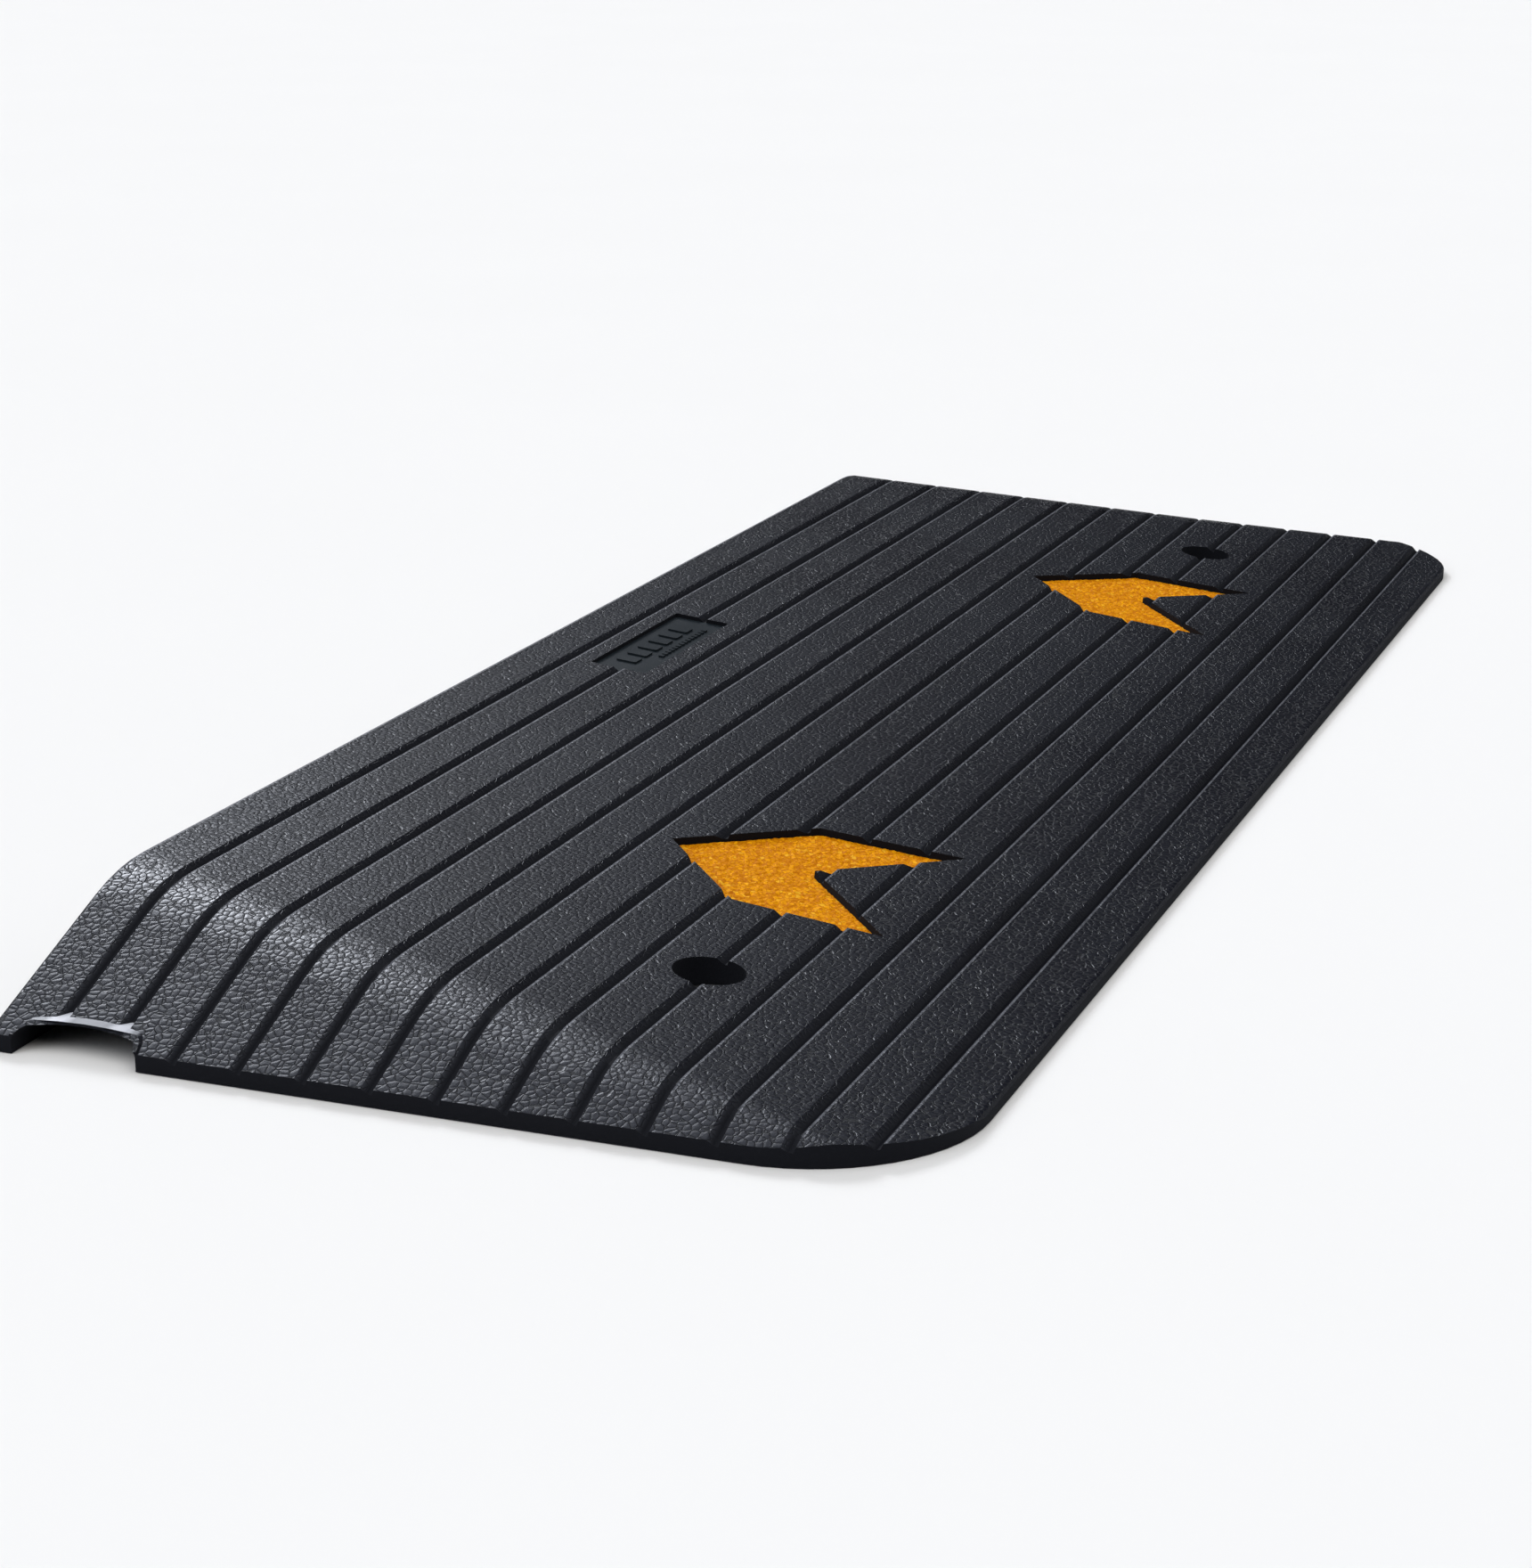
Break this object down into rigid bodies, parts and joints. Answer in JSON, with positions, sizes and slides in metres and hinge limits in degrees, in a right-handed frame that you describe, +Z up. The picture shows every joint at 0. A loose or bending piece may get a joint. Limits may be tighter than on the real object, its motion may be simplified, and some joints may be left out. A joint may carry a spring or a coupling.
{
  "type": "rubber threshold ramp",
  "caption": "One-sided rubber threshold ramp with lengthwise grooves, bevelled ends, rounded lip corners, a cable channel, yellow direction arrows and bolt-down holes.",
  "frame": {"origin": "middle of the base, at the centre of the overall box", "axes": "+X along the grooves, +Y from the thin lip towards the high edge that meets the step, +Z up"},
  "size_m": [1.066, 0.366, 0.0437],
  "materials": {
    "body_rubber": "fine pebble grain",
    "arrow_granules": "granular",
    "plate_rubber": "smooth",
    "washer_steel": "plain zinc"
  },
  "bodies": {
    "root": {"ramp_body": "body_rubber", "arrow_inlay_left": "arrow_granules", "arrow_inlay_right": "arrow_granules", "nameplate": "plate_rubber", "anchor_washer_left": "washer_steel", "anchor_washer_right": "washer_steel"}
  },
  "joints": []
}
